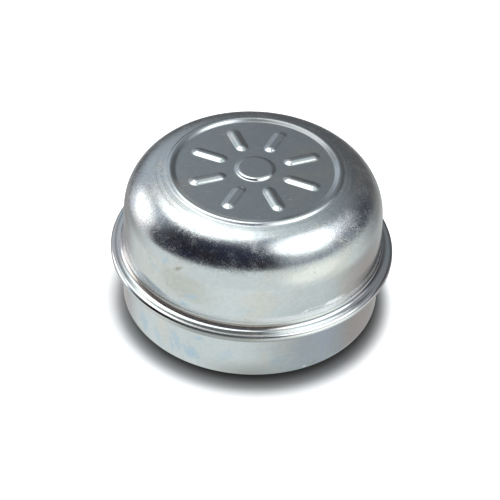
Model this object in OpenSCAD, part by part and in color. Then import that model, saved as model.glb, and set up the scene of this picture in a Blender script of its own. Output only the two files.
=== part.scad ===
// Hub grease cap: one deep-drawn sheet steel pressing.
// The sheet runs without a break from the open rim up the skirt, out and back
// in the folded collar, up the wall, over the shoulder to the raised crest, and
// down into the recess, whose floor rises in a small boss with pressed ribs round it.
// Millimetres. The open rim stands on z = 0 and the axis is Z.

/* [Sheet] */
// Thickness of the pressed sheet
sheet_t = 1.0; // [0.6:0.05:1.6]

/* [Skirt] */
// Outside diameter of the skirt that is pressed into the hub
skirt_d = 64.0; // [45:0.1:90]
// Height of the collar's underside above the open rim
skirt_h = 13.0; // [8:0.5:20]
// Broken edge of the open rim
rim_break = 0.15; // [0.05:0.05:0.3]
// Outside bend radius between the skirt and the collar
seat_bend_r = 0.4; // [0.2:0.1:1]

/* [Collar] */
// Flat of the collar's top between the wall's fillet and the folded edge
collar_flat = 0.33; // [0.1:0.01:2]
// Clearance left inside the fold between its two leaves
fold_gap = 0.1; // [0.05:0.05:0.3]

/* [Wall and shoulder] */
// Overall height from the open rim to the crest
cap_h = 37.4; // [30:0.1:60]
// How far the foot of the wall lies inside the skirt's outside line
wall_inset = 0.1; // [0:0.1:1]
// Concave radius between the collar's top and the wall
fillet_r = 1.6; // [1:0.1:2]
// Draft of the wall, leaning in
wall_draft = 3.0; // [1:0.5:6]
// Outside radius of the shoulder
shoulder_r = 11.9; // [8:0.1:13]
// Slope of the crown between the shoulder and the crest's flank
crown_slope = 12; // [8:1:18]

/* [Crest and recess] */
// Width of the crown, from the wall's foot to the recess floor
crown_w = 12.95; // [12:0.05:18]
// Height of the crest above the crown at the foot of its flank
crest_rise = 0.5; // [0.3:0.1:0.8]
// Slope of the crest's outer flank
crest_slope = 34; // [25:1:45]
// Outside radius between the crown and the crest's flank
crest_foot_r = 0.7; // [0.3:0.1:1]
// Inside bend radius of the crest
crest_in_r = 0.1; // [0.1:0.1:1]
// Depth of the floor below the crest
recess_depth = 0.6; // [0.6:0.1:1.2]
// Slope of the recess wall
recess_slope = 33; // [30:1:45]
// Outside radius where the floor begins
floor_bend_r = 0.6; // [0.4:0.1:1]

/* [Pressed pattern] */
// Number of ribs
rib_count = 8; // [5:1:10]
// Height of ribs and boss above the floor
rib_h = 0.55; // [0.3:0.05:0.6]
// Rounding radius of a rib on the sheet's inside
rib_in_r = 1.3; // [1:0.1:2.5]
// Space between the boss's foot and a rib
rib_gap_in = 2.8; // [2:0.1:4]
// Space between a rib and the edge of the floor
rib_gap_out = 2.6; // [1.5:0.1:5]
// Radius of the middle boss at its foot
boss_r = 4.8; // [4:0.1:6]
// Slope of the boss's flank
boss_slope = 40; // [30:1:50]
// Inside bend radius of the boss's edge
boss_in_r = 0.1; // [0.1:0.1:0.6]

/* [Hidden] */
$fn = 96;
zinc = [0.72, 0.75, 0.77];

// flat steps that a bend is drawn in, for each full right angle
steps_small = 5;
steps_shoulder = 11;
// the bend inside the fold is tiny
steps_fold = 3;
// run past a surface, so that a cut comes out clean
past = 1;

skirt_r = skirt_d / 2;
wall_r = skirt_r - wall_inset;
fold_r = sheet_t + fold_gap / 2;
collar_top = skirt_h + 2 * fold_r;
// how far the fillet and the shoulder reach along the lines that they join
fillet_run = fillet_r * tan((90 - wall_draft) / 2);
collar_r = wall_r + fillet_run + collar_flat + fold_r;

floor_r = wall_r - crown_w;
floor_z = cap_h - recess_depth;
crest_r = crest_in_r + sheet_t;
// the crest's corner lies a little above the rounded crest
crest_lift = crest_r
    * (cos((recess_slope - crest_slope) / 2) / cos((recess_slope + crest_slope) / 2) - 1);
crest_z = cap_h + crest_lift;
crest_corner_r = floor_r + (crest_z - floor_z) / tan(recess_slope);
// the crest's outer flank comes down to the crown's upper end
foot_z = cap_h - crest_rise;
foot_r = crest_corner_r + (crest_z - foot_z) / tan(crest_slope);
// the shoulder's corner is where the wall's line meets the crown's
shoulder_z = (foot_z - (wall_r + collar_top * tan(wall_draft) - foot_r) * tan(crown_slope))
    / (1 - tan(wall_draft) * tan(crown_slope));
shoulder_corner_r = wall_r - (shoulder_z - collar_top) * tan(wall_draft);
// the shoulder's bend is limited by the wall below it and the crown above it
shoulder_half = (90 - wall_draft - crown_slope) / 2;
wall_room = (shoulder_z - collar_top) / cos(wall_draft) - fillet_run;
crown_room = (shoulder_corner_r - foot_r) / cos(crown_slope)
    - crest_foot_r * tan((crest_slope - crown_slope) / 2);
shoulder_fit_r = min(shoulder_r, 0.98 * min(wall_room, crown_room) / tan(shoulder_half));

boss_z = floor_z + rib_h;
boss_top_r = boss_r - rib_h / tan(boss_slope);
boss_edge_r = boss_in_r + sheet_t;
rib_r = rib_in_r + sheet_t;

// Corners of the outside face from the rim to the axis: [radius, height, outside bend radius, steps].
corners = [
    [skirt_r, skirt_h, seat_bend_r, steps_small],
    [collar_r, skirt_h, fold_r, steps_fold],
    [collar_r, collar_top, fold_r, steps_fold],
    [wall_r, collar_top, fillet_r, steps_small],
    [shoulder_corner_r, shoulder_z, shoulder_fit_r, steps_shoulder],
    [foot_r, foot_z, crest_foot_r, steps_small],
    [crest_corner_r, crest_z, crest_r, steps_small],
    [floor_r, floor_z, floor_bend_r, steps_small],
    [boss_r, floor_z, floor_bend_r, steps_small],
    [boss_top_r, boss_z, boss_edge_r, steps_small],
];
rim = [skirt_r, 0];
pole = [0, boss_z];

function spot(i) = i < 0 ? rim : i >= len(corners) ? pole : [corners[i][0], corners[i][1]];
function unit(v) = v / norm(v);
function heading(v) = atan2(v[1], v[0]);
function wrap(a) = a > 180 ? a - 360 : a < -180 ? a + 360 : a;

// One bend of a face that lies inward of the outside face by the depth given.
function bend(i, inward) =
    let (
        a = unit(spot(i) - spot(i - 1)),
        b = unit(spot(i + 1) - spot(i)),
        swing = wrap(heading(b) - heading(a)),
        side = swing > 0 ? 1 : -1,
        r = corners[i][2],
        run = r * tan(abs(swing) / 2),
        centre = spot(i) - a * run + side * r * [-a[1], a[0]],
        radius = r - side * inward,
        from = heading(a) - side * 90,
        count = max(2, ceil(corners[i][3] * abs(swing) / 90))
    )
    [for (k = [0 : count]) centre + radius * [cos(from + swing * k / count), sin(from + swing * k / count)]];

function face_line(inward) = [for (i = [0 : len(corners) - 1]) each bend(i, inward)];
function backwards(list) = [for (i = [len(list) - 1 : -1 : 0]) list[i]];

// The sheet's section on one side of the axis.
module sheet_section() {
    polygon(concat(
        [[skirt_r - rim_break, 0], [skirt_r, rim_break]],
        face_line(0),
        [pole, pole - [0, sheet_t]],
        backwards(face_line(sheet_t)),
        [[skirt_r - sheet_t, rim_break], [skirt_r - sheet_t + rim_break, 0]]
    ));
}

// A rib is the top of a long round-ended form that lies mostly under the floor.
module rib_form(radius) {
    inset = sqrt(pow(rib_r, 2) - pow(rib_r - rib_h, 2));
    start = boss_r + rib_gap_in + inset;
    span = floor_r - rib_gap_out - inset - start;
    translate([start, 0, floor_z + rib_h - rib_r])
        rotate([0, 90, 0])
            rotate_extrude() {
                square([radius, span]);
                for (end = [0, span])
                    intersection() {
                        translate([0, end]) circle(r = radius);
                        translate([0, end - radius]) square([radius, 2 * radius]);
                    }
            }
}

module ribs(inward) {
    for (i = [0 : rib_count - 1])
        rotate([0, 0, (i + 0.5) * 360 / rib_count]) rib_form(rib_r - inward);
}

// All that lies within the given band of heights in the recess.
module slab(low, high) {
    translate([0, 0, low]) cylinder(h = high - low, r = floor_r - floor_bend_r);
}

module cap() {
    color(zinc)
    difference() {
        union() {
            rotate_extrude() sheet_section();
            intersection() {
                ribs(0);
                slab(floor_z - sheet_t / 2, floor_z + rib_h + past);
            }
        }
        intersection() {
            ribs(sheet_t);
            slab(floor_z - sheet_t - past, floor_z);
        }
    }
}

cap();
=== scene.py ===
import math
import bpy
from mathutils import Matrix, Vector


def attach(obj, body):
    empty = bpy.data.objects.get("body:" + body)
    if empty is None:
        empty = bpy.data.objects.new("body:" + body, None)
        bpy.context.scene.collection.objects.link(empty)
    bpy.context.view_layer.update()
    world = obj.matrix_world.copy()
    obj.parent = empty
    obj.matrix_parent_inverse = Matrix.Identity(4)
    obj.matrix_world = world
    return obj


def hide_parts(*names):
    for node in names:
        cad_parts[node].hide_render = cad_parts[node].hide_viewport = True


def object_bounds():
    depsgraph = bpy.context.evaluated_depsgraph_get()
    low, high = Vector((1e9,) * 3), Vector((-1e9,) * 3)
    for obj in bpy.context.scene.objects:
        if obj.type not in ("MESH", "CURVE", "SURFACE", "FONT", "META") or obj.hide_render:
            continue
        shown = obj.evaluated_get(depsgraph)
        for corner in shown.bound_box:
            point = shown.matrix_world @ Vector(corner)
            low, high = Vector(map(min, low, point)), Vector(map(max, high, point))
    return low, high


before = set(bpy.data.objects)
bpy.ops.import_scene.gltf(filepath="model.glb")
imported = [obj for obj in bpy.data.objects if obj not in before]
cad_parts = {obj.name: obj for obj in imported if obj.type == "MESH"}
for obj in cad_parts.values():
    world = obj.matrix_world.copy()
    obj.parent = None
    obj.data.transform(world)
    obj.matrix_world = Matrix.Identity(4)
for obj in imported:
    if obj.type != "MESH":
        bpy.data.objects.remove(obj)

# Looks of the hub grease cap: one deep-drawn sheet steel pressing with bright zinc
# plating, on a pale floor in soft studio light. Lengths are in millimetres up to the
# point where a mesh or a shader takes them. Places round the cap are in degrees from
# its front, + to its right.

from types import SimpleNamespace

import bpy
import numpy as np
from mathutils import Matrix, Vector

cad_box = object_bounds()
MM = 0.001
DEGREES = 180 / math.pi


# sizes of the sheet

SHEET = 1.0          # thickness
RIM_BREAK = 0.15     # rounded edge of the open rim
SKIRT_R = 32.0
SEAT_Z = 13.0        # underside of the collar
SEAT_BEND_R = 0.4
FOLD_R = 1.05
COLLAR_Z = SEAT_Z + 2 * FOLD_R
COLLAR_R = 34.798
WALL_R = 31.9        # at the foot of the wall
FILLET_R = 1.6
WALL_DRAFT = math.radians(3.0)
SHOULDER_R = 11.9
CROWN_SLOPE = math.radians(12.0)
CREST_FOOT_R = 0.7
CREST_SLOPE = math.radians(34.0)
CREST_RISE = 0.5
CREST_R = 1.1
CAP_H = 37.4
RECESS_SLOPE = math.radians(33.0)
FLOOR_R = 18.95
FLOOR_Z = 36.8
FLOOR_BEND_R = 0.6
BOSS_R = 4.8
BOSS_H = 0.55
BOSS_SLOPE = math.radians(40.0)
BOSS_EDGE_R = 1.1
BOSS_TOP_Z = FLOOR_Z + BOSS_H

RIBS = 8
RIB_OUT_R = 2.3      # rounding of a rib on the outside and on the inside of the sheet
RIB_IN_R = 1.3
RIB_H = 0.55
RIB_INSET = 1.4925   # from a rib's end to the end of its spine
RIB_SPINE = (7.6 + RIB_INSET, 16.35 - RIB_INSET)
RIB_FOOT_OUT = 0.10  # half width of the rounding at a rib's foot
RIB_FOOT_IN = 0.14

# a shallow ring that the press tool leaves on the crown
TOOL_MARK_R = 23.5
TOOL_MARK_HALF = 0.24
TOOL_MARK_DEEP = 0.012
TOOL_MARK_RINGS = 0.1 * np.arange(3, -4, -1)
# the shoulder's arc above this height and outside this radius carries it
ARC_FROM_Z = 33.0
ARC_FROM_R = 22.2

# how uneven the drawn wall is, from where to where, and over what height that fades in
UNEVEN = 0.018
UNEVEN_FROM_Z = COLLAR_Z + 1
UNEVEN_TO_Z = 37.0
UNEVEN_FADE = 6
UNEVEN_FROM_R = 21

# how many lengths each bend and each straight run is cut into, from the rim to the pole
OUTSIDE_BENDS = [5, 7, 7, 10, 39, 4, 10, 4, 3, 5]
OUTSIDE_RUNS = [6, 2, 1, 2, 8, 2, 2, 2, 40, 1, 5]
INSIDE_BENDS = [5, 2, 2, 5, 20, 3, 3, 3, 3, 2]
INSIDE_RUNS = [3, 1, 1, 1, 3, 1, 1, 1, 24, 1, 2]
# a run that is cut at least this fine is the recess floor, and its lengths are even
EVEN_FROM = 20
TURNS = 368          # steps round the axis


def sheet_corners():
    """Corners of the outside face, worked out as the source does: the crest's corner lies above
    its rounded top, its flank comes down to the crown, and the shoulder's corner is where the
    wall's line meets the crown's. Each row is radius, height, outside bend radius."""
    half_sum = (RECESS_SLOPE + CREST_SLOPE) / 2
    half_gap = (RECESS_SLOPE - CREST_SLOPE) / 2
    crest_z = CAP_H + CREST_R * (math.cos(half_gap) / math.cos(half_sum) - 1)
    crest_x = FLOOR_R + (crest_z - FLOOR_Z) / math.tan(RECESS_SLOPE)
    foot_z = CAP_H - CREST_RISE
    foot_x = crest_x + (crest_z - foot_z) / math.tan(CREST_SLOPE)
    lean, fall = math.tan(WALL_DRAFT), math.tan(CROWN_SLOPE)
    shoulder_z = (foot_z - (WALL_R + COLLAR_Z * lean - foot_x) * fall) / (1 - lean * fall)
    shoulder_x = WALL_R - (shoulder_z - COLLAR_Z) * lean
    return np.array([
        [SKIRT_R, SEAT_Z, SEAT_BEND_R],
        [COLLAR_R, SEAT_Z, FOLD_R],
        [COLLAR_R, COLLAR_Z, FOLD_R],
        [WALL_R, COLLAR_Z, FILLET_R],
        [shoulder_x, shoulder_z, SHOULDER_R],
        [foot_x, foot_z, CREST_FOOT_R],
        [crest_x, crest_z, CREST_R],
        [FLOOR_R, FLOOR_Z, FLOOR_BEND_R],
        [BOSS_R, FLOOR_Z, FLOOR_BEND_R],
        [BOSS_R - BOSS_H / math.tan(BOSS_SLOPE), BOSS_TOP_Z, BOSS_EDGE_R],
    ])


def straight(a, b, count):
    """The inner points of a straight run from a to b that is cut into count lengths: even
    ones on the recess floor, and elsewhere ones that grow shorter towards both bends, at
    (1 - cos(pi * t)) / 2."""
    share = np.linspace(0, 1, count + 1)[1:-1, None]
    if count < EVEN_FROM:
        share = (1 - np.cos(math.pi * share)) / 2
    return a + (b - a) * share


def face_line(start, end, corners, inward, bend_rings, run_rings):
    """Section of one face of the sheet from start to end. At each corner it is the arc that
    touches both straight runs, centre = corner - a * run + side * r * (a turned left), with
    run = r * tan(swing / 2); a face that lies inward keeps the centre and takes the radius
    r - side * inward."""
    spots = np.vstack([start, corners[:, :2], end])
    parts = [np.array([start], float)]
    for i in range(1, len(spots) - 1):
        a, b = (spots[k + 1] - spots[k] for k in (i - 1, i))
        a, b = a / np.linalg.norm(a), b / np.linalg.norm(b)
        swing = math.atan2(a[0] * b[1] - a[1] * b[0], a @ b)
        side, r = math.copysign(1, swing), corners[i - 1, 2]
        centre = (spots[i] - a * r * math.tan(abs(swing) / 2)
                  + side * r * np.array([-a[1], a[0]]))
        first = math.atan2(a[1], a[0]) - side * math.pi / 2
        angle = first + swing * np.linspace(0, 1, bend_rings[i - 1] + 1)
        arc = centre + (r - side * inward) * np.column_stack([np.cos(angle), np.sin(angle)])
        parts.append(straight(parts[-1][-1], arc[0], run_rings[i - 1]))
        parts.append(arc)
    parts.append(straight(parts[-1][-1], np.array(end, float), run_rings[-1]))
    parts.append(np.array([end], float))
    line = np.vstack(parts)
    step = np.linalg.norm(np.diff(line, axis=0), axis=1)
    return line[np.concatenate([[True], step > 1e-4])]


def with_rings(line, radii):
    """The section with points added at the given radii on the shoulder's arc, whose centre is
    found from three of the arc's own points, at height = centre + sqrt(R^2 - (r - centre)^2)."""
    high = line[:, 1] > ARC_FROM_Z
    arc = line[high & (line[:, 0] > ARC_FROM_R)]
    a, b, c = arc[0], arc[len(arc) // 2], arc[-1]
    sides = np.array([b - a, c - a])
    middle = np.linalg.solve(2 * sides, (np.array([b, c]) ** 2).sum(1) - (a ** 2).sum())
    height = middle[1] + np.sqrt(SHOULDER_R ** 2 - (radii - middle[0]) ** 2)
    before, after = (np.nonzero(high & (line[:, 0] < r))[0][0] for r in (radii[0], radii[-1]))
    return np.vstack([line[:before], np.column_stack([radii, height]), line[after:]])


def rim_edge(radius, into_sheet, angles):
    """The rounded edge of the rim: a quarter circle of radius RIM_BREAK that runs from the
    face at the given radius into the sheet."""
    return np.column_stack([radius + into_sheet * RIM_BREAK * (1 - np.cos(angles)),
                            RIM_BREAK * (1 - np.sin(angles))])


def sheet_section():
    """The sheet's section from the inside pole, down the inside, round the rim and up the
    outside to the outside pole, both poles left out, and which of its points lie outside."""
    corners = sheet_corners()
    outside = face_line([SKIRT_R, RIM_BREAK], [0, BOSS_TOP_Z], corners, 0,
                        OUTSIDE_BENDS, OUTSIDE_RUNS)
    outside = with_rings(outside, TOOL_MARK_R + TOOL_MARK_RINGS)
    inside = face_line([SKIRT_R - SHEET, RIM_BREAK], [0, BOSS_TOP_Z - SHEET], corners, SHEET,
                       INSIDE_BENDS, INSIDE_RUNS)[::-1]
    quarter = np.radians([30.0, 60.0, 90.0])
    inner_edge = rim_edge(SKIRT_R - SHEET, 1, quarter)
    outer_edge = rim_edge(SKIRT_R, -1, quarter[::-1])
    section = np.vstack([inside, inner_edge, outer_edge, outside])
    is_outside = np.arange(len(section)) >= len(inside) + len(inner_edge)
    return section[1:-1], is_outside[1:-1]


def rounded_above_zero(height, blend):
    """The larger of height and zero, with a rounded foot: within blend of zero it is the
    parabola (height + blend) squared over four times blend."""
    return np.where(np.abs(height) < blend, (height + blend) ** 2 / (4 * blend),
                    np.maximum(height, 0))


def rib_height(x, y, round_r, blend):
    """Height of the pressed ribs over a flat floor. A rib is the top of a long round-ended
    form: with d the distance in plan from the rib's spine, it is
    sqrt(round_r^2 - d^2) - (round_r - RIB_H), faded into the floor at its foot."""
    radius, turn = np.hypot(x, y), np.arctan2(y, x)
    pitch = 2 * math.pi / RIBS
    off = (turn % pitch) - pitch / 2
    along, across = radius * np.cos(off), radius * np.sin(off)
    beyond = along - np.clip(along, *RIB_SPINE)
    d2 = across ** 2 + beyond ** 2
    dome = np.sqrt(np.maximum(round_r ** 2 - d2, 0)) - (round_r - RIB_H)
    return rounded_above_zero(np.where(d2 < round_r ** 2, dome, -1.0), blend)


def tool_mark(radius):
    """Depth of the press tool's ring, which has a cosine section: TOOL_MARK_DEEP in its
    middle and nothing TOOL_MARK_HALF away."""
    share = np.clip(np.abs(radius - TOOL_MARK_R) / TOOL_MARK_HALF, 0, 1)
    return TOOL_MARK_DEEP * (1 + np.cos(math.pi * share)) / 2


def unevenness(turn, height):
    """How far the drawn wall lies inside its true round: a sum of slow waves round the axis,
    each turned a little further with height, and never below zero."""
    waves = (np.sin(2 * turn + 0.4) + 0.7 * np.sin(3 * turn - 1.1 + height / 14)
             + 0.5 * np.sin(5 * turn + 2.0 - height / 9) + 0.3 * np.sin(9 * turn + height / 6))
    fade = (np.clip((height - UNEVEN_FROM_Z) / UNEVEN_FADE, 0, 1)
            * np.clip((UNEVEN_TO_Z - height) / UNEVEN_FADE, 0, 1))
    return fade * (UNEVEN * (2.5 + waves) / 2.5)


def turned_skin(name, grid, poles):
    """A closed mesh from rings of points, first to last, with a fan to a pole at each end."""
    rings, turns = grid.shape[:2]
    here = np.arange(turns)
    beside = (here + 1) % turns
    row = np.arange(rings - 1)[:, None] * turns
    quads = np.stack([row + here, row + beside, row + turns + beside, row + turns + here],
                     -1).reshape(-1, 4)
    first_pole, last_pole, last = rings * turns, rings * turns + 1, (rings - 1) * turns
    first_fan = np.column_stack([beside, here, np.full(turns, first_pole)])
    last_fan = np.column_stack([last + here, last + beside, np.full(turns, last_pole)])
    points = np.vstack([grid.reshape(-1, 3), poles]) * MM
    mesh = bpy.data.meshes.new(name)
    mesh.from_pydata(points.tolist(), [], quads.tolist() + first_fan.tolist() + last_fan.tolist())
    mesh.validate()
    mesh.polygons.foreach_set("use_smooth", np.ones(len(mesh.polygons), bool))
    mesh.update()
    return mesh


def cap_mesh():
    """The whole sheet as one closed skin: its section turned about the axis. Ribs are added
    as a height over the recess floor, on the outside and on the inside, the tool's ring is
    taken off the crown, and the wall is drawn in by its unevenness."""
    section, is_outside = sheet_section()
    turn = np.arange(TURNS) * 2 * math.pi / TURNS
    radius = section[:, :1] + 0 * turn
    height = section[:, 1:] + 0 * turn
    turn = turn + 0 * radius
    outside = is_outside[:, None]

    x, y = radius * np.cos(turn), radius * np.sin(turn)
    in_recess = (radius > BOSS_R + 0.9) & (radius < FLOOR_R - 0.6) & (height > FLOOR_Z - 1.3)
    height = height + in_recess * np.where(
        outside, rib_height(x, y, RIB_OUT_R, RIB_FOOT_OUT), rib_height(x, y, RIB_IN_R, RIB_FOOT_IN))
    height = height - outside * (height > ARC_FROM_Z) * tool_mark(radius)
    radius = radius - (radius > UNEVEN_FROM_R) * unevenness(turn, height)
    height = np.minimum(height, cad_box[1][2] / MM)

    grid = np.stack([radius * np.cos(turn), radius * np.sin(turn), height], -1)
    return turned_skin("pressed_cap", grid, [[0, 0, BOSS_TOP_Z - SHEET], [0, 0, BOSS_TOP_Z]])


# shader arithmetic


class Wire:
    """A socket that carries a number. Arithmetic on it adds Math nodes to its tree."""

    def __init__(self, board, socket):
        self.board, self.socket = board, socket

    def worked(self, operation, *others):
        return self.board.node("ShaderNodeMath", {"operation": operation},
                               dict(enumerate((self,) + others)))

    def __add__(self, other):
        return self.worked("ADD", other)

    def __sub__(self, other):
        return self.worked("SUBTRACT", other)

    def __rsub__(self, other):
        return self.board.node("ShaderNodeMath", {"operation": "SUBTRACT"}, {0: other, 1: self})

    def __mul__(self, other):
        return self.worked("MULTIPLY", other)

    def __truediv__(self, other):
        return self.worked("DIVIDE", other)

    def __neg__(self):
        return self * -1

    __radd__, __rmul__ = __add__, __mul__

    def most(self, other):
        return self.worked("MAXIMUM", other)

    def apart(self):
        """How far the number lies from zero."""
        return self.worked("ABSOLUTE")

    def root(self):
        return self.worked("SQRT")

    def rise(self, low, high):
        """0 below low, 1 above high, and a smooth step between them. With low the larger, it
        is 1 below high and 0 above low."""
        flip = low > high
        share = self.board.node(
            "ShaderNodeMapRange", {"interpolation_type": "SMOOTHSTEP"},
            {"Value": self, "From Min": min(low, high), "From Max": max(low, high)})
        return 1 - share if flip else share

    def band(self, low, high, edge):
        """1 between low and high, with smooth edges that reach the given width to each side."""
        return self.rise(low - edge, low + edge) * self.rise(high + edge, high - edge)


class Board:
    """A node tree with one way to add a node."""

    def __init__(self, owner):
        owner.use_nodes = True
        self.tree = owner.node_tree
        self.tree.nodes.clear()

    def node(self, kind, settings=None, inputs=None, out=0):
        made = self.tree.nodes.new(kind)
        for name, value in (settings or {}).items():
            if name == "stops":
                ramp = made.color_ramp
                for at, shade in value[1:-1]:
                    ramp.elements.new(at).color = shade
                for element, (at, shade) in ((ramp.elements[0], value[0]),
                                             (ramp.elements[-1], value[-1])):
                    element.position, element.color = at, shade
            else:
                setattr(made, name, value)
        for name, value in (inputs or {}).items():
            if isinstance(value, Wire):
                self.tree.links.new(value.socket, made.inputs[name])
            elif value is not None:
                made.inputs[name].default_value = value
        return Wire(self, made.outputs[out]) if len(made.outputs) else made

    def parts(self, vector):
        """The three numbers of a vector."""
        made = self.node("ShaderNodeSeparateXYZ", None, {0: vector}).socket.node
        return [Wire(self, made.outputs[k]) for k in range(3)]

    def turn(self, x, y):
        """Degrees round the axis, 0 at the front and + to its right."""
        return self.node("ShaderNodeMath", {"operation": "ARCTAN2"}, {0: x, 1: -y}) * DEGREES

    def blend(self, share, low, high):
        """The colour low where share is 0 and high where it is 1."""
        made = self.tree.nodes.new("ShaderNodeMix")
        made.data_type = "RGBA"
        sockets = {s.identifier: s for s in made.inputs}
        for key, value in (("Factor_Float", share), ("A_Color", low), ("B_Color", high)):
            if isinstance(value, Wire):
                self.tree.links.new(value.socket, sockets[key])
            else:
                sockets[key].default_value = value if key == "Factor_Float" else opaque(value)
        return Wire(self, next(s for s in made.outputs if s.identifier == "Result_Color"))

    def layers(self, base, *rows):
        """The colour base with further colours laid over it in turn. Each row is a mask and
        the colour that covers the ones before it where the mask is 1."""
        for mask, over in rows:
            base = self.blend(mask, base, over)
        return base

    def noise(self, place, size, detail=2.0, rough=0.5):
        """Noise from about 0 to 1 whose lumps are about size across, in the place's units."""
        return self.node("ShaderNodeTexNoise", {"noise_dimensions": "3D"}, {
            "Vector": place, "Scale": 1.0 / size, "Detail": detail, "Roughness": rough}, "Fac")

    def stretched(self, place, turn, pull, shift=(0, 0, 0)):
        """The place turned by the given angles and pulled out along its own axes."""
        return self.node("ShaderNodeMapping", None, {
            "Vector": place, "Location": shift, "Rotation": [math.radians(t) for t in turn],
            "Scale": pull})


def opaque(rgb):
    return (rgb[0], rgb[1], rgb[2], 1.0)


def most_of(masks):
    """The largest of several masks at each spot."""
    found = None
    for mask in masks:
        found = mask if found is None else found.most(mask)
    return found


# zinc plating

BARE_ZINC = (0.600, 0.635, 0.640)
CREAM_ZINC = (0.655, 0.625, 0.570)
BLUE_ZINC = (0.440, 0.575, 0.690)
GREY_ZINC = (0.430, 0.455, 0.470)
BROWN_ZINC = (0.530, 0.490, 0.430)
LILAC_ZINC = (0.585, 0.600, 0.700)
PINK_ZINC = (0.690, 0.625, 0.610)
STAIN_ZINC = (0.520, 0.520, 0.475)
FOOT_SHADE_ZINC = (0.300, 0.345, 0.400)
NICK_ZINC = (0.400, 0.385, 0.315)
DULL_ZINC = (0.350, 0.355, 0.340)
RUBBED_AND_SHADE_ZINC = (0.250, 0.260, 0.265)
BRIGHT_ZINC = (0.950, 0.960, 0.960)
FILLET_SHADE_ZINC = (0.480, 0.410, 0.350)
FILLET_DEEP_SHADE = (0.260, 0.225, 0.195)
SEAT_SHADE = (0.250, 0.255, 0.265)

# marks on the wall and the skirt: degrees round from the front, height, half length and half
# width in millimetres, tilt in degrees from the horizontal, strength
BLUE_MARKS = [
    (-51.5, 4.4, 2.2, 1.3, 100, 0.80), (-42.0, 3.6, 2.4, 0.8, 115, 0.55),
    (-34.2, 3.9, 1.7, 0.35, 105, 0.75), (-31.5, 5.4, 2.6, 0.9, 110, 0.70),
    (-24.5, 3.9, 2.0, 1.4, -20, 0.95), (-21.2, 9.2, 1.0, 0.6, 10, 0.75),
    (-9.0, 5.8, 2.2, 1.3, 30, 0.35), (12.5, 4.4, 1.6, 1.3, 20, 0.45),
    (-28.8, 18.2, 1.3, 0.5, 5, 0.95), (-33.7, 17.4, 1.5, 0.5, -10, 0.60),
    (-24.8, 21.3, 1.5, 0.6, 15, 0.70), (-44.5, 24.4, 2.6, 0.4, -25, 0.50),
    (-39.0, 28.0, 1.1, 0.5, 80, 0.55), (-1.5, 20.0, 2.2, 0.9, 20, 0.22),
]
DARK_MARKS = [
    (-32.0, 27.7, 1.30, 0.62, 40, 1.00), (-21.2, 2.8, 0.55, 0.12, 12, 0.85),
    (-48.2, 25.7, 0.45, 0.35, 60, 0.45), (4.0, 1.2, 2.2, 0.22, 4, 0.60),
    (30.0, 1.0, 1.1, 0.5, 25, 0.70), (38.5, 4.7, 0.28, 0.28, 0, 0.60),
    (28.2, 28.9, 0.60, 0.12, -40, 0.55), (-12.8, 3.0, 0.30, 0.25, 0, 0.50),
]
# painted highlights: pale streaks along the wall's foot to the right, a spot low on the rim and a
# glint over the nick
HIGHLIGHT_MARKS = [
    (38.4, 18.6, 3.1, 0.62, -1, 1.00), (30.5, 18.8, 3.0, 0.16, -2, 0.45),
    (24.5, 18.6, 1.4, 0.32, 14, 0.55), (25.6, 0.6, 0.45, 0.25, 10, 0.90),
    (-31.6, 28.3, 0.9, 0.20, 32, 0.30),
]
# painted shade: a bluish dark streak at the wall's foot on the left, above the collar
FOOT_SHADE_STREAKS = [(-45.5, 18.45, 3.3, 0.48, -6, 1.00)]
WALL_MM_PER_DEGREE = 0.556
MARK_FADE = 1.4      # share of a mark's half size over which it fades out

# directions of the hairlines, as angles about x, y and z, and how strong a noise they take
HAIRLINES = [((20, 35, 10), 0.70), ((65, -20, 75), 0.715), ((-30, 50, 140), 0.72)]
HAIR_PULL = (0.10, 1.0, 1.0)
HAIR_SHIFT = (3.1, 0.7, 5.9)
SCUFF_TURN = (0, -35, 40)
SCUFF_PULL = (0.22, 1.0, 1.0)


def marks(board, plane, ragged, rows, reach):
    """1 where one of the marks lies, with ragged edges. A mark is an oval: the distance from
    its middle, over its half length and half width, is below reach."""
    found = []
    for turn, height, half_length, half_width, tilt, strength in rows:
        local = board.node("ShaderNodeMapping", {"vector_type": "TEXTURE"}, {
            "Vector": plane, "Location": (turn * WALL_MM_PER_DEGREE, height, 0),
            "Rotation": (0, 0, math.radians(tilt)), "Scale": (half_length, half_width, 1)})
        off = board.node("ShaderNodeVectorMath", {"operation": "LENGTH"}, {0: local}, "Value")
        found.append((off + ragged).rise(reach, reach - MARK_FADE) * strength)
    return most_of(found)


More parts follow.
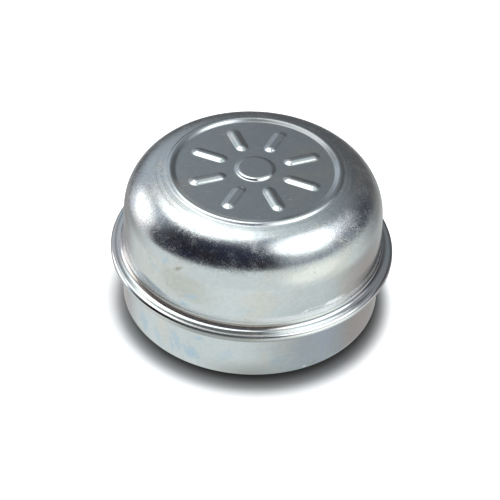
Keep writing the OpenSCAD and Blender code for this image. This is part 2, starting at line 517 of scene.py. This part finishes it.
def plate_zones(z, radius, turn):
    """Where each kind of surface lies: masks by height, radius and place round the cap."""
    on_top = z.rise(33.0, 35.5)
    shoulder = z.rise(28.0, 31.5) * radius.rise(20.5, 22.5)
    fold = radius.rise(33.2, 33.5)
    recess_wall = on_top * radius.band(18.8, 20.1, 0.15)
    # the shoulder is polished on the front's right, and scuffed beside that
    grainy = shoulder * (1 - 0.65 * (shoulder * turn.band(4, 40, 9)))
    return SimpleNamespace(
        on_top=on_top,
        shoulder=shoulder,
        grainy=grainy,
        gritty=grainy * z.rise(36.2, 35.0),
        scuffed=shoulder * turn.band(42, 60, 6) * z.band(31.0, 35.2, 1.0),
        recess=on_top * radius.rise(19.8, 19.0),
        crest_foot=on_top * radius.band(20.9, 21.8, 0.25),
        recess_front=recess_wall * turn.band(-66, 12, 14),
        recess_back=recess_wall * (turn.band(102, 190, 12) + turn.band(-190, -168, 10)),
        skirt=z.rise(13.2, 12.6),
        seat=z.rise(13.72, 13.42) * radius.rise(32.3, 32.6),
        collar=z.band(13.4, 16.2, 0.4),
        # painted shade in the fillet over the collar, at the front
        fillet_shade=z.band(15.38, 16.34, 0.12) * radius.rise(33.3, 33.0) * turn.band(-66, 16, 9),
        dull_fold=z.band(13.25, 15.40, 0.12) * fold * turn.band(-29, 7, 10),
        pale_fold=z.band(13.40, 15.40, 0.12) * fold * turn.band(19, 46, 7),
        foot=z.band(16.60, 18.10, 0.35) * radius.rise(33.0, 32.6),
        # the foot of the wall mirrors the collar, so its relief is kept low
        calm=z.band(14.5, 19.0, 1.5),
    )


def plate_noises(board, place):
    """The noises that the finish is made of, from wide to fine."""
    return SimpleNamespace(
        drift=board.noise(place, 14.0, 2.0),
        wear=board.noise(place, 9.0, 1.0),
        clouds=board.noise(place, 6.0, 3.0, 0.55),
        veil=board.noise(place, 2.4, 3.0, 0.6),
        flakes=board.noise(place, 2.0, 3.0, 0.6),
        patches=board.noise(place, 1.5, 4.0, 0.60),
        mottle=board.noise(place, 1.1, 4.0, 0.62),
        dust=board.noise(place, 0.75, 2.0, 0.7),
        grit=board.noise(place, 0.42, 2.0, 0.6),
        grain=board.noise(place, 0.24, 2.0, 0.6),
    )


def plate_wear(board, place, z, radius, turn, zone, noise):
    """Marks, rings and scratches, as masks. Marks lie on the plane of the unrolled wall,
    rings are thin bands of noise along the radius, and scratches are thin bands of noise
    that is pulled out along one direction."""
    plane = board.node("ShaderNodeCombineXYZ", None, {0: turn * WALL_MM_PER_DEGREE, 1: z, 2: 0})
    patchy, dusty = noise.patches - 0.5, noise.dust - 0.5
    rings = board.node("ShaderNodeTexNoise", {"noise_dimensions": "1D"}, {
        "W": radius, "Scale": 3.2, "Detail": 2.0, "Roughness": 0.6}, "Fac")
    ringed = (zone.on_top * radius.band(21.6, 24.2, 0.4)
              * (0.35 + 0.65 * noise.drift.rise(0.40, 0.60)))
    circles = (radius.band(21.93, 21.99, 0.10) * 0.5 + radius.band(22.35, 22.45, 0.12)
               + radius.band(22.88, 22.94, 0.10) * 0.4 + radius.band(23.44, 23.56, 0.12))
    worn = zone.on_top * turn.band(-84, 6, 16) * (0.4 + 0.6 * noise.drift.rise(0.36, 0.54))
    hair = most_of([
        board.noise(board.stretched(place, angles, HAIR_PULL, HAIR_SHIFT), 0.36, 1.0, 0.4)
        .rise(limit, limit + 0.06) for angles, limit in HAIRLINES])
    scuffs = board.noise(board.stretched(place, SCUFF_TURN, SCUFF_PULL), 0.34, 2.0, 0.5)
    return SimpleNamespace(
        blue=marks(board, plane, patchy * 2.4 + dusty * 1.0, BLUE_MARKS, 1.70) * 0.85,
        dark=marks(board, plane, dusty * 1.2, DARK_MARKS, 1.35),
        bright=marks(board, plane, dusty * 1.4, HIGHLIGHT_MARKS, 1.45),
        foot_shade=marks(board, plane, patchy * 0.8, FOOT_SHADE_STREAKS, 2.10),
        ring_lines=(rings - 0.5).apart().rise(0.035, 0.012) * ringed,
        circles=circles * worn,
        groove=zone.on_top * radius.band(22.25, 22.45, 0.22),
        hair=hair * noise.wear.rise(0.44, 0.60),
        scuffs=scuffs.rise(0.56, 0.63) * zone.scuffed,
    )


def plate_tint(board, z, turn, zone, noise, wear):
    """The plating's colour, as layers from the bare zinc up to the marks, with painted shade and
    painted highlights laid in among them.
    """
    cream = (noise.drift.rise(0.46, 0.62) * noise.clouds.rise(0.38, 0.60) * 0.60).most(
        turn.band(-58, -36, 8) * z.band(19.0, 27.0, 2.0) * 0.5)
    stain = turn.band(-46, -17, 8) * z.band(19.8, 26.5, 1.4) * noise.clouds.rise(0.28, 0.55)
    # where the passivate has flaked: thin broken contours
    flaked = (turn.band(-38, -26, 4) * z.band(19.5, 26.5, 1.5)
              + turn.band(-42, -24, 5) * z.band(3.0, 8.0, 1.5) * 0.6)
    contour = (noise.flakes - 0.5).apart().rise(0.020, 0.006) * noise.dust.rise(0.42, 0.56)
    lilac = zone.skirt * turn.band(24, 44, 9) * noise.clouds.rise(0.35, 0.55)
    pink = z.rise(26, 22) * (turn.band(47, 80, 6) + turn.band(-96, -68, 6))
    # painted shade: darker low on the skirt in front, where it mirrors the cap's shadow on the floor,
    # and on the wall in the corner by the collar to the right
    rim_shade = z.rise(6.0, 0.0) * turn.band(-12, 12, 13)
    corner = z.band(16.0, 20.8, 0.8) * turn.band(54, 80, 7)
    return board.layers(
        BARE_ZINC,
        (cream, CREAM_ZINC),
        (stain * 0.75, STAIN_ZINC),
        (noise.mottle.rise(0.35, 0.65) * 0.10, BRIGHT_ZINC),
        (zone.shoulder * noise.mottle.rise(0.56, 0.70) * 0.45, BROWN_ZINC),
        (zone.shoulder * noise.mottle.rise(0.44, 0.32) * 0.40, BLUE_ZINC),
        (zone.gritty * noise.grit.rise(0.53, 0.65) * 0.55, GREY_ZINC),
        (zone.gritty * noise.grit.rise(0.47, 0.35) * 0.40, BRIGHT_ZINC),
        (wear.blue, BLUE_ZINC),
        (contour * flaked * 0.75, GREY_ZINC),
        # painted shade at the wall's foot on the left
        (wear.foot_shade * 0.9, FOOT_SHADE_ZINC),
        (wear.dark, NICK_ZINC),
        # painted highlights
        (wear.bright, BRIGHT_ZINC),
        (lilac * 0.7, LILAC_ZINC),
        (pink * 0.6, PINK_ZINC),
        # painted shade in the fillet over the collar: brownish, darker at its top
        (zone.fillet_shade * 0.85, board.blend(z.rise(15.85, 16.1), FILLET_SHADE_ZINC, FILLET_DEEP_SHADE)),
        (zone.dull_fold * 0.85, DULL_ZINC),
        (zone.pale_fold * 0.8, BRIGHT_ZINC),
        # painted shade low on the skirt in front
        (rim_shade * 0.9, DULL_ZINC),
        # painted shade on the back of the recess wall
        (zone.recess_back * 0.85, RUBBED_AND_SHADE_ZINC),
        # painted highlight: the wall's foot paler to the front right
        (zone.foot * turn.band(8, 40, 9) * 0.5, BRIGHT_ZINC),
        # painted shade in the corner by the collar
        (corner * 0.8, DULL_ZINC),
        (wear.ring_lines * 0.5, GREY_ZINC),
        (wear.circles * 0.95, RUBBED_AND_SHADE_ZINC),
        (zone.seat, SEAT_SHADE),
    )


def plate_roughness(zone, noise, wear, haze):
    """Nearly polished metal, hazier on the drawn shoulder and rougher where it is worn."""
    speck = noise.grain.rise(0.44, 0.60)
    spark = noise.grain.rise(0.64, 0.74)
    on_shoulder = (0.07 * noise.veil.rise(0.48, 0.64) + 0.04 * noise.mottle.rise(0.45, 0.65)
                   ) * zone.shoulder
    on_grain = (0.040 + 0.09 * haze * speck + 0.20 * spark) * zone.grainy
    on_wear = (0.12 * wear.hair + 0.24 * wear.scuffs + 0.05 * wear.blue + 0.20 * wear.dark)
    on_zones = (0.02 * zone.recess + 0.10 * zone.crest_foot + 0.10 * zone.recess_back
                + 0.09 * zone.foot + 0.27 * zone.dull_fold + 0.21 * zone.pale_fold
                - 0.035 * zone.collar)
    return 0.125 + 0.03 * haze + 0.03 * speck + on_shoulder + on_grain + on_wear + on_zones


def plate_relief(zone, noise, wear, haze):
    """Height of the fine relief, in millimetres."""
    low = 1 - 0.8 * zone.calm
    grain = 0.0030 * low + 0.0170 * zone.grainy * (0.55 + haze)
    dust = 0.0014 * low + 0.0010 * zone.grainy * (0.3 + haze)
    cut = (wear.hair * 0.0040 + wear.scuffs * 0.0050 + wear.dark * 0.012
           + wear.ring_lines * 0.0040 + wear.groove * 0.0060)
    return noise.grain * grain + noise.dust * dust + noise.clouds * 0.010 * (1 - 0.7 * zone.calm) - cut


def zinc_plate():
    """Bright zinc with a clear passivate: metal whose tint drifts between neutral and cream,
    with pale blue flow marks on the skirt and the foot of the wall, a grain that is
    strongest on the drawn shoulder, hairlines and scuffs, worn circles round the crest, and
    dull and bright stretches of fold. Shade is painted brownish into the fillet over the
    collar, on the wall in the corner by the collar to the right, low on the skirt in front,
    on the back of the recess wall and in a streak at the wall's foot on the left, and
    highlights are painted on the wall's foot to the right, low on the rim and over a nick."""
    material = bpy.data.materials.new("zinc_plate")
    board = Board(material)
    metres = board.node("ShaderNodeTexCoord", None, None, "Object")
    place = board.node("ShaderNodeVectorMath", {"operation": "SCALE"},
                       {0: metres, "Scale": 1 / MM})
    x, y, z = board.parts(place)
    radius = (x * x + y * y).root()
    turn = board.turn(x, y)

    zone = plate_zones(z, radius, turn)
    noise = plate_noises(board, place)
    wear = plate_wear(board, place, z, radius, turn, zone, noise)
    haze = noise.clouds.rise(0.44, 0.66)
    # the painted highlights, the painted shade in the fillet, the wall's foot and the front of the
    # recess wall are partly not metal
    covered = (0.75 * wear.bright + 0.22 * zone.fillet_shade + 0.34 * zone.foot
               + 0.14 * zone.recess_front)
    bump = board.node("ShaderNodeBump", None, {
        "Strength": 1.0, "Distance": MM, "Height": plate_relief(zone, noise, wear, haze)},
        "Normal")
    board.node("ShaderNodeOutputMaterial", None, {"Surface": board.node(
        "ShaderNodeBsdfPrincipled", None, {
            "Base Color": plate_tint(board, z, turn, zone, noise, wear),
            "Metallic": 1 - covered,
            "Roughness": plate_roughness(zone, noise, wear, haze),
            "Normal": bump})})
    return material


# floor, light and camera

FLOOR_HALF = 2.5 / MM
FLOOR_DROP = 0.02    # the floor lies this far under the rim
FLOOR_WHITE = (0.84, 0.84, 0.84)
SHADE_BLACK = (0.058, 0.056, 0.052)
# the painted contact shade's middle, its radius, and its softness at the sides and what the front adds
SHADE_AT = (0.8, -3.3)
SHADE_R = 32.3
SHADE_SOFT = 5.0
SHADE_SOFTER = 2.7

LAMP_AT = (0.0, 160.0, 600.0)
LAMP_ACROSS = 300.0
LAMP_WATTS = 5.0

CAMERA_AWAY = 360.0
CAMERA_LIFT = math.radians(42.305)
CAMERA_ROLL = math.radians(-2.568)
CAMERA_LOOKS_AT = Vector((-0.379, 0, 11.362))
FOCAL_PIXELS = 1417.38
FRAME_PIXELS = 500
SENSOR = 36.0

WHITE = (1.0, 1.0, 1.0)
# how bright the softbox overhead is in its middle, and the ones on the right and low on the left
SOFTBOX = (2.4, 2.45, 2.45)
COOL_SOFTBOX = (2.2, 2.25, 2.3)
# colours of the room behind the cap, by lift from 0 to 90 degrees
BACK_WALL = [
    (0.00, (0.130, 0.130, 0.135)), (0.30, (0.130, 0.135, 0.145)), (0.45, (0.230, 0.255, 0.275)),
    (0.62, (0.320, 0.365, 0.400)), (0.80, (0.420, 0.480, 0.520)), (1.00, (0.600, 0.660, 0.680)),
]
# the plane that the white card in front rises to: how far it is tipped up, and towards where
CARD_TIP = math.radians(18.5)
CARD_FACE = math.radians(22)


def added(name, data):
    """A new object in the scene."""
    made = bpy.data.objects.new(name, data)
    bpy.context.scene.collection.objects.link(made)
    return made


def pale_floor():
    """A plain matt white floor, just under the rim, with a contact shade painted into its
    colour. The metal mirrors the soft light of the surroundings instead of it, so that no
    hard shadow line is drawn on the skirt. The painted contact shade is a disc that lies a
    little to the front, softer there than behind."""
    mesh = bpy.data.meshes.new("floor")
    corners = np.array([(-1, -1), (1, -1), (1, 1), (-1, 1)]) * FLOOR_HALF
    points = np.column_stack([corners, np.full(4, -FLOOR_DROP)]) * MM
    mesh.from_pydata(points.tolist(), [], [(0, 1, 2, 3)])
    floor = added("floor", mesh)
    material = bpy.data.materials.new("floor_white")
    board = Board(material)
    x, y = board.parts(board.node("ShaderNodeTexCoord", None, None, "Object"))[:2]
    x, y = x * (1 / MM) - SHADE_AT[0], y * (1 / MM) - SHADE_AT[1]
    radius = (x * x + y * y).root()
    away = (radius - SHADE_R) / (SHADE_SOFT - SHADE_SOFTER * (y / radius))
    # the contact shade is painted into the floor's colour
    board.node("ShaderNodeOutputMaterial", None, {"Surface": board.node(
        "ShaderNodeBsdfDiffuse", None, {
            "Color": board.blend(away.rise(-0.5, 0.58), SHADE_BLACK, FLOOR_WHITE)})})
    mesh.materials.append(material)
    floor.visible_glossy = False
    floor.visible_shadow = False


def floor_light():
    """A wide lamp overhead and a little behind, which whitens the floor and lays the cap's
    soft shadow to the front. The metal doesn't mirror it."""
    data = bpy.data.lights.new("floor_light", "AREA")
    data.shape, data.size, data.energy = "DISK", LAMP_ACROSS * MM, LAMP_WATTS
    lamp = added("floor_light", data)
    eye = Vector(LAMP_AT) * MM
    lamp.matrix_world = Matrix.Translation(eye) @ eye.to_track_quat("Z", "Y").to_matrix().to_4x4()
    lamp.visible_glossy = False


def studio():
    """The surroundings, by direction: a softbox overhead to the left, a second one to the
    right, a small one low on the left, a white card that rises in front, and a dim room.
    A panel overhead is laid out on the plane one unit above the cap, where a direction
    meets it at (x / z, y / z)."""
    world = bpy.data.worlds.new("studio")
    bpy.context.scene.world = world
    board = Board(world)
    way = board.node("ShaderNodeTexCoord", None, None, "Generated")
    x, y, z = board.parts(way)
    front = -y
    turn = board.turn(x, y)
    lift = board.node("ShaderNodeMath", {"operation": "ARCSINE"}, {0: z}) * DEGREES
    up = z.most(0.02)
    across, ahead = x / up, front / up

    def blot(at_turn, at_lift, wide, tall, soft):
        """1 inside an oval patch of the surroundings, fading to 0 over the given share."""
        off_turn = board.node("ShaderNodeMath", {"operation": "WRAP"}, {
            0: turn - at_turn, 1: 180.0, 2: -180.0}) / wide
        off_lift = (lift - at_lift) / tall
        return (off_turn * off_turn + off_lift * off_lift).root().rise(1 + soft, 1 - soft)

    def panel(at_across, at_ahead, wide, deep, soft, tilt=0.0):
        """1 inside an oval panel overhead, fading to 0 over the given share."""
        cos, sin = math.cos(math.radians(tilt)), math.sin(math.radians(tilt))
        off_across, off_ahead = across - at_across, ahead - at_ahead
        long = (off_across * cos + off_ahead * sin) / wide
        short = (off_ahead * cos - off_across * sin) / deep
        return (long * long + short * short).root().rise(1 + soft, 1 - soft) * z.rise(0.2, 0.42)

    # dark in front, mid grey behind, lighter towards the zenith
    uneven = board.noise(way, 0.35, 3.0, 0.55).rise(0.40, 0.60)
    dark_front = board.layers(
        (0.012, 0.016, 0.040),
        (uneven, (0.026, 0.022, 0.028)),
        (lift.rise(30, 66), (0.036, 0.040, 0.070)))
    back_wall = board.node(
        "ShaderNodeValToRGB", {"stops": [(at, opaque(shade)) for at, shade in BACK_WALL]},
        {0: lift / 90}, "Color")

    # white card in front and the floor: all that lies under a plane that is tipped up in front
    under_card = (x * (math.sin(CARD_TIP) * math.sin(CARD_FACE))
                  + front * (math.sin(CARD_TIP) * math.cos(CARD_FACE)) - z * math.cos(CARD_TIP))
    far_floor = board.layers(
        (0.27, 0.275, 0.28),
        (lift.rise(-12, -36), (0.56, 0.56, 0.56)),
        (blot(-150, -33, 22, 7, 0.6) * 0.8, (0.30, 0.30, 0.31)))
    ground = board.layers(
        (0.865, 0.920, 0.915),
        (turn.apart().rise(80, 130), far_floor),
        (blot(-108, -41, 22, 11, 0.5) * 0.5, (0.98, 1.05, 1.05)),
        (blot(0, -35, 55, 4.5, 0.6) * 0.4, (1.05, 1.12, 1.10)),
        (lift.rise(-36, -41.5) * turn.rise(-15, 55), (0.48, 0.53, 0.55)),
        (blot(125, -43, 38, 5.5, 0.5) * 0.85, (0.40, 0.385, 0.375)),
        (blot(110, -36, 30, 6, 0.6) * 0.5, (0.42, 0.42, 0.42)),
        (blot(51, -8, 23, 17, 0.45) * 0.9, (1.28, 1.30, 1.20)))

    glow_right = panel(1.20, 0.70, 1.00, 0.66, 0.45) * turn.rise(22, 42)
    room = board.layers(
        dark_front,
        (turn.apart().rise(80, 122), back_wall),
        # the right side of the room, with a dark gap at its far end
        (turn.rise(16, 34) * turn.rise(135, 100), (0.28, 0.31, 0.35)),
        (blot(72, 14, 40, 24, 0.28) * 0.7, (0.34, 0.38, 0.43)),
        (blot(113, 11, 19, 18, 0.5) * 0.9, (0.060, 0.062, 0.080)),
        (panel(1.35, -0.35, 0.50, 0.22, 0.6) * 0.8, (0.78, 0.79, 0.88)),
        # round softbox overhead, behind and to the left, with its glow to the right and behind
        (blot(-133, 28, 38, 30, 0.45) * 0.75, (0.66, 0.73, 0.82)),
        (panel(0.05, -0.25, 0.42, 0.42, 0.5) * 0.9, (0.76, 0.83, 0.84)),
        (panel(-0.25, 0.10, 0.60, 0.22, 0.5, 15) * 0.8, (0.24, 0.26, 0.31)),
        (panel(-0.66, -0.60, 0.48, 0.40, 0.25), (1.05, 1.12, 1.12)),
        (panel(-0.49, -0.28, 0.60, 0.37, 0.12, 28), SOFTBOX),
        # softbox to the right, with its glow to the right and the front
        (glow_right * 0.9, (0.58, 0.62, 0.635)),
        (panel(1.22, 0.36, 0.46, 0.38, 0.5), (1.02, 1.06, 1.06)),
        (panel(0.83, 0.29, 0.61, 0.52, 0.18), COOL_SOFTBOX),
        # low softbox on the left, with a paler glow under it
        (blot(-112, -8, 23, 15, 0.4) * 0.9, (0.95, 0.95, 1.02)),
        (blot(-113, 11, 14.5, 16, 0.22), COOL_SOFTBOX),
        (under_card.rise(-0.02, 0.04), ground),
        # the picture's own background is plain white
        (board.node("ShaderNodeLightPath", None, None, "Is Camera Ray"), WHITE))
    board.node("ShaderNodeOutputWorld", None, {"Surface": board.node(
        "ShaderNodeBackground", None, {"Color": room, "Strength": 1.0})})


def camera():
    """The photograph's camera, fitted to the cap's outlines: a long lens that looks down from
    the front, rolled so that the right side hangs a little. Its focal length in pixels, over
    the frame's width, is the lens over the sensor."""
    eye = CAMERA_AWAY * Vector((0, -math.cos(CAMERA_LIFT), math.sin(CAMERA_LIFT)))
    ahead = (CAMERA_LOOKS_AT - eye).normalized()
    right = ahead.cross(Vector((0, 0, 1))).normalized()
    up = right.cross(ahead)
    cos, sin = math.cos(CAMERA_ROLL), math.sin(CAMERA_ROLL)
    turned = Matrix((right * cos - up * sin, right * sin + up * cos, -ahead)).transposed()
    data = bpy.data.cameras.new("camera")
    data.sensor_width = SENSOR
    data.lens = SENSOR * FOCAL_PIXELS / FRAME_PIXELS
    data.clip_start, data.clip_end = 0.01, 20.0
    made = added("camera", data)
    made.matrix_world = Matrix.Translation(eye * MM) @ turned.to_4x4()
    bpy.context.scene.camera = made


camera()
pale_floor()
floor_light()
studio()
bpy.context.scene.view_settings.view_transform = "Standard"

cap = added("pressed_cap", cap_mesh())
cap.data.materials.append(zinc_plate())
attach(cap, "root")
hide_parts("cap")
